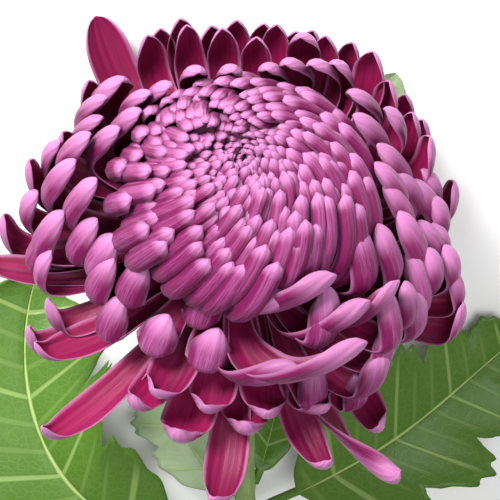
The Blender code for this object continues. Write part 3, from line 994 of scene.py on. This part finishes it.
def floret_material(name, settings, pale_from, foot_deepening_and_shade, body):
    """Streaked lilac backs with painted shade on their sides and feet, crimson faces and pale margins. The back is
    palest from pale_from to its tip, partly a painted highlight.
    """
    material, tree, shader = new_material(name)
    back, across, along = map_places(tree, "floret")
    tone = Value(node(tree, "ShaderNodeAttribute", attribute_name="tone"), "Fac")
    from_middle = abs(across * 2.0 - 1.0)

    def stretched(over, down, apart):
        """Places stretched along the floret, which differ from floret to floret with its tone."""
        return combined(across * over, along * down, tone * apart)

    fine = noise(stretched(*FINE_STREAKS))
    fine_streak = ramp(fine, 0.42, 0.66)
    streak = ramp(noise(stretched(*WIDE_STREAKS), detail=4.0, roughness=0.62), 0.34, 0.68)
    # Painted highlight: the pale tip is partly the floret's own paler pink and partly a painted highlight where light
    # catches it
    tip = ramp(along, pale_from, 0.99)
    # The foot deepens, partly its own deeper magenta and partly painted shade where it runs down between its
    # neighbours
    foot = 1.0 - ramp(along, 0.05, pale_from + 0.08)
    margin = ramp(from_middle, 0.80, 0.97)
    # Painted shade: the sides of each rounded back are darkened, which leaves a paler lit middle
    painted_side_shade = ramp(from_middle, 0.20, 0.90) * 0.70

    deep = held(streak * 0.34 + fine_streak * 0.30 + painted_side_shade + body) * (1.0 - tip * 0.60)
    deep = held(held(deep + foot * foot_deepening_and_shade) + tone * 0.26 - 0.08)
    pale = maths("MAXIMUM", margin * 0.35, tip * 0.42)
    back_colour = mix(pale, mix(deep, settings.back_pale, settings.back_deep), settings.margin)

    bright = held(streak * 0.5 + tone * 0.5 - 0.05)
    rim = ramp(from_middle, 0.78, 0.97) * (tip * 0.6 + 0.35)
    face_colour = mix(rim, mix(bright, settings.face_deep, settings.face_bright), settings.margin)

    look = {
        "Base Color": mix(back, face_colour, back_colour),
        "Roughness": fine_streak * 0.14 + 0.40,
        "IOR": 1.42,
        "Subsurface Weight": 0.12,
        "Subsurface Radius": (1.0, 0.2, 0.45),
        "Subsurface Scale": 0.0014,
        "Specular IOR Level": 0.3,
        "Sheen Weight": 0.1,
        "Sheen Roughness": 0.4,
        "Sheen Tint": linear("F4D4F4"),
    }
    fill(shader, look)
    ridges = maths("SINE", across * (2 * math.pi * BACK_RIDGES))
    add_bump(shader, ridges * 0.5 + fine * 0.7, 0.00022)
    return material


def leaf_material(name, settings, lobes, underside):
    """A leaf's green with pale veins: a midrib, one side vein to each lobe, and a fine net between them."""
    material, tree, shader = new_material(name)
    _back, across, along = map_places(tree, "leaf")
    off_middle = abs(across * 2.0 - 1.0)

    def side_veins(count, reach, width):
        off = abs(maths("FRACT", along * count) - 0.5)
        return (1.0 - ramp(off, width * 0.3, width)) * (1.0 - ramp(off_middle, reach * 0.6, reach))

    coordinates = Value(tree.nodes.new("ShaderNodeTexCoord"), "Object")
    cells = {"Vector": coordinates, "Scale": 420.0}
    net = Value(node(tree, "ShaderNodeTexVoronoi", cells, feature="DISTANCE_TO_EDGE"), "Distance")
    lesser = (
        (side_veins(lobes, 1.0, 0.045), 0.5),
        (side_veins(lobes * 3, 0.9, 0.14), 0.16),
        (1.0 - ramp(net, 0.02, 0.12), 0.06),
    )
    veins = 1.0 - ramp(off_middle, 0.008, 0.034)
    for line, strength in lesser:
        veins = maths("MAXIMUM", veins, line * strength)
    patch = ramp(noise(coordinates, 90.0, 4.0, 0.6), 0.35, 0.68)
    speckle = noise(coordinates, 700.0, 2.0)
    if underside:
        blade_colour, matt, raised = mix(patch * 0.35, settings.under, settings.top), 0.42, 1.0
    else:
        blade_colour, matt, raised = mix(patch, settings.top, settings.top_dark), 0.34, -1.0
    look = {
        "Base Color": mix(veins, blade_colour, settings.vein),
        "Roughness": speckle * 0.2 + matt,
        "IOR": 1.4,
        "Subsurface Weight": 0.12,
        "Subsurface Radius": (0.3, 0.8, 0.1),
        "Subsurface Scale": 0.001,
    }
    fill(shader, look)
    add_bump(shader, veins * raised + speckle * 0.12, 0.0006, 0.7)
    return material


def green_material(name, colour, pale, roughness):
    """A fleshy green with fine lengthwise grain, for the stem, the bracts and the receptacle."""
    material, tree, shader = new_material(name, roughness)
    coordinates = Value(tree.nodes.new("ShaderNodeTexCoord"), "Object")
    stretch = node(tree, "ShaderNodeMapping", {"Vector": coordinates, "Scale": (900.0, 70.0, 900.0)})
    grain = noise(Value(stretch), 1.0, 4.0, 0.6)
    share = ramp(grain, 0.4, 0.7) * 0.35 + noise(coordinates, 60.0) * 0.25
    look = {
        "Base Color": mix(share, colour, pale),
        "Subsurface Weight": 0.1,
        "Subsurface Radius": (0.4, 0.8, 0.2),
        "Subsurface Scale": 0.001,
    }
    fill(shader, look)
    add_bump(shader, grain, 0.0002)
    return material


def cut_material(settings):
    """The cut face of the stem: pale pith with a green ring of fibres."""
    material, tree, shader = new_material("stem_cut_face", 0.55)
    coordinates = Value(tree.nodes.new("ShaderNodeTexCoord"), "Object")
    cells = Value(node(tree, "ShaderNodeTexVoronoi", {"Vector": coordinates, "Scale": 2600.0}), "Distance")
    fill(shader, {"Base Color": mix(ramp(cells, 0.2, 0.7) * 0.4, settings.pith, settings.skin)})
    return material


# Operators


class CHRYSANTHEMUM_OT_separate_florets(bpy.types.Operator):
    """Builds the florets of the outer whorls, each group of neighbours as its own piece"""

    bl_idname = "chrysanthemum.separate_florets"
    bl_label = "Outer florets"

    def execute(self, context):
        settings = context.scene.chrysanthemum_florets
        chance = np.random.default_rng(SEPARATE_SEED)
        for family, rows in FLORETS.items():
            material = floret_material(family + "_floret_skin", settings, *SEPARATE_LOOK)
            groups = {}
            for row in rows:
                skin = blade(separate_shape(row, chance, settings), FLORET_STATIONS, FLORET_ACROSS)
                groups.setdefault(f"{family}_floret_{row[0]:02d}", []).append(skin)
            for name, skins in groups.items():
                mesh = closed_mesh(name + "_blade", skins, "floret")
                mesh.transform(head_matrix())
                add_piece(name + "_blade", mesh, [material] * 2, name)
        return {"FINISHED"}


class CHRYSANTHEMUM_OT_inner_florets(bpy.types.Operator):
    """Builds the crowd of inner florets on a golden-angle spiral"""

    bl_idname = "chrysanthemum.inner_florets"
    bl_label = "Inner florets"

    def execute(self, context):
        settings = context.scene.chrysanthemum_florets
        crowd = context.scene.chrysanthemum_crowd
        material = floret_material("inner_floret_skin", settings, *CROWD_LOOK)
        moulds = []
        for number in range(CROWD_MOULDS):
            shape = crowd_shape((number + 0.5) / CROWD_MOULDS, settings.skin / MM)
            skins = [blade(shape, CROWD_STATIONS, CROWD_ACROSS)]
            moulds.append(closed_mesh(f"inner_mould_{number:02d}", skins, "floret", False))
        values = {"Count": crowd.count, "Tilt": crowd.tilt, "Variety": crowd.variety, "Seed": crowd.seed}
        mesh = spiral_mesh("inner_florets_crowd", moulds, material, values)
        packed = turned_mesh("packed_bodies", PACKED_OUTLINE, RECEPTACLE_SIDES)
        for face in packed.polygons:
            face.material_index = 2
        with_core(mesh, packed)
        mesh.transform(head_matrix())
        mesh.shade_smooth()
        flesh = green_material("packed_floret_flesh", settings.face_deep, settings.back_deep, 0.7)
        add_piece("inner_florets_crowd", mesh, [material, material, flesh], "inner_florets")
        return {"FINISHED"}


class CHRYSANTHEMUM_OT_back(bpy.types.Operator):
    """Builds the receptacle and the overlapping bracts behind the florets"""

    bl_idname = "chrysanthemum.back"
    bl_label = "Receptacle and bracts"

    def execute(self, context):
        settings = context.scene.chrysanthemum_stem
        flesh = green_material("receptacle_flesh", linear("B8C48C"), settings.pith, 0.5)
        mesh = turned_mesh("receptacle_boss", RECEPTACLE_OUTLINE, RECEPTACLE_SIDES)
        mesh.transform(head_matrix())
        add_piece("receptacle_boss", mesh, [flesh], "receptacle")

        leafy = green_material("bract_skin", settings.bract, linear("A8B878"), 0.5)
        moulds = []
        for number in range(BRACT_MOULDS):
            shape = bract_shape((number + 0.5) / BRACT_MOULDS)
            skins = [blade(shape, BRACT_STATIONS, BRACT_ACROSS)]
            moulds.append(closed_mesh(f"bract_mould_{number:02d}", skins, "floret", False))
        values = {"Count": BRACT_COUNT, "Tilt": 0.02, "Variety": 0.03, "Seed": 3}
        mesh = spiral_mesh("involucre_bracts", moulds, leafy, values)
        cup = turned_mesh("bract_cup", BRACT_CUP_OUTLINE, RECEPTACLE_SIDES)
        with_core(mesh, cup)
        mesh.transform(head_matrix())
        mesh.shade_smooth()
        add_piece("involucre_bracts", mesh, [leafy] * 2, "involucre")
        return {"FINISHED"}


class CHRYSANTHEMUM_OT_stem(bpy.types.Operator):
    """Builds the ribbed stem with its pale cut"""

    bl_idname = "chrysanthemum.stem"
    bl_label = "Stem"

    def execute(self, context):
        settings = context.scene.chrysanthemum_stem
        mesh = stem_mesh(settings)
        mesh.transform(table_matrix())
        skin = green_material("stem_skin", settings.skin, linear("A4B878"), 0.45)
        add_piece("stem_ribbed", mesh, [skin, cut_material(settings)], "stem")
        return {"FINISHED"}


class CHRYSANTHEMUM_OT_leaves(bpy.types.Operator):
    """Builds the lobed, veined leaves"""

    bl_idname = "chrysanthemum.leaves"
    bl_label = "Leaves"

    def execute(self, context):
        settings = context.scene.chrysanthemum_leaves
        for row in LEAVES:
            name, lobes, pale_up = row[0], row[8], row[10]
            mesh = closed_mesh(name + "_lobed", [leaf_skin(row, settings)], "leaf")
            mesh.transform(table_matrix())
            sides = [
                leaf_material(name + "_top", settings, lobes, False),
                leaf_material(name + "_underside", settings, lobes, True),
            ]
            if pale_up:
                sides.reverse()
            add_piece(name + "_lobed", mesh, sides, name)
        return {"FINISHED"}


class CHRYSANTHEMUM_OT_stage(bpy.types.Operator):
    """Lays out the table, the soft lights and the camera"""

    bl_idname = "chrysanthemum.stage"
    bl_label = "Table, lights and camera"

    def execute(self, context):
        settings = context.scene.chrysanthemum_stage
        scene = context.scene
        mesh = bpy.data.meshes.new("table_top")
        corners = [(x * HALF_TABLE, y * HALF_TABLE, 0) for x, y in ((-1, -1), (1, -1), (1, 1), (-1, 1))]
        mesh.from_pydata(corners, [], [(0, 1, 2, 3)])
        paint, _tree, shader = new_material("table_paint", 0.6)
        fill(shader, {"Base Color": settings.floor_colour})
        mesh.materials.append(paint)
        floor = bpy.data.objects.new("table_top", mesh)
        scene.collection.objects.link(floor)
        floor.location.z = -TABLE_GAP

        world = bpy.data.worlds.new("studio")
        scene.world = world
        world.use_nodes = True
        fill(world.node_tree.nodes["Background"], {"Color": (1.0, 1.0, 1.0), "Strength": WORLD_STRENGTH})

        rise = settings.camera_rise
        head = Vector(ORIGIN_SHIFT) * MM + Vector((0.0, 0.0, HEAD_HEIGHT * MM))
        back = Vector((0.0, -math.cos(rise), math.sin(rise)))
        up = Vector((0.0, -math.sin(rise), -math.cos(rise)))
        right = up.cross(back)
        aside, below = (PICTURE_SIDE / 2 - place for place in HEAD_IN_PICTURE)
        middle = head + (right * aside - up * below) / PIXELS_PER_MM * MM
        camera_data = bpy.data.cameras.new("camera")
        camera = bpy.data.objects.new("camera", camera_data)
        scene.collection.objects.link(camera)
        turn = Matrix((right, up, back)).transposed().to_4x4()
        camera.matrix_world = Matrix.Translation(middle + back * settings.camera_distance) @ turn
        camera_data.sensor_width = 36.0
        camera_data.lens = 36.0 * settings.camera_distance / settings.picture_width
        camera_data.clip_start = 0.02
        camera_data.dof.use_dof = False
        scene.camera = camera

        def soft_light(name, direction, distance, size, watts):
            data = bpy.data.lights.new(name, "AREA")
            data.shape = "DISK"
            data.size = size
            data.energy = watts
            lamp = bpy.data.objects.new(name, data)
            scene.collection.objects.link(lamp)
            way = Vector(direction).normalized()
            lamp.location = head + way * distance
            lamp.rotation_euler = way.to_track_quat("Z", "Y").to_euler()

        soft_light("key_light", (0.40, -0.76, 0.50), 0.8, 0.30, 12.3)
        soft_light("overhead_light", (-0.3, -0.1, 1.0), 1.1, 0.7, 6.0)
        scene.view_settings.view_transform = "Standard"
        return {"FINISHED"}


class CHRYSANTHEMUM_PT_panel(bpy.types.Panel):
    bl_label = "Chrysanthemum"
    bl_idname = "CHRYSANTHEMUM_PT_panel"
    bl_space_type = "VIEW_3D"
    bl_region_type = "UI"
    bl_category = "Chrysanthemum"

    def draw(self, context):
        for name in OPERATORS:
            self.layout.operator(name)


OPERATORS = (
    "chrysanthemum.stage",
    "chrysanthemum.separate_florets",
    "chrysanthemum.inner_florets",
    "chrysanthemum.back",
    "chrysanthemum.stem",
    "chrysanthemum.leaves",
)
SETTINGS = {
    "chrysanthemum_florets": FloretSettings,
    "chrysanthemum_crowd": CrowdSettings,
    "chrysanthemum_leaves": LeafSettings,
    "chrysanthemum_stem": StemSettings,
    "chrysanthemum_stage": StageSettings,
}
CLASSES = (
    *SETTINGS.values(),
    CHRYSANTHEMUM_OT_separate_florets,
    CHRYSANTHEMUM_OT_inner_florets,
    CHRYSANTHEMUM_OT_back,
    CHRYSANTHEMUM_OT_stem,
    CHRYSANTHEMUM_OT_leaves,
    CHRYSANTHEMUM_OT_stage,
    CHRYSANTHEMUM_PT_panel,
)


def register():
    for made in CLASSES:
        bpy.utils.register_class(made)
    for name, settings in SETTINGS.items():
        setattr(bpy.types.Scene, name, PointerProperty(type=settings))


def unregister():
    for name in SETTINGS:
        delattr(bpy.types.Scene, name)
    for made in reversed(CLASSES):
        bpy.utils.unregister_class(made)


def main():
    register()
    bpy.ops.chrysanthemum.stage()
    bpy.ops.chrysanthemum.separate_florets()
    bpy.ops.chrysanthemum.inner_florets()
    bpy.ops.chrysanthemum.back()
    bpy.ops.chrysanthemum.stem()
    bpy.ops.chrysanthemum.leaves()


if __name__ == "__main__":
    main()
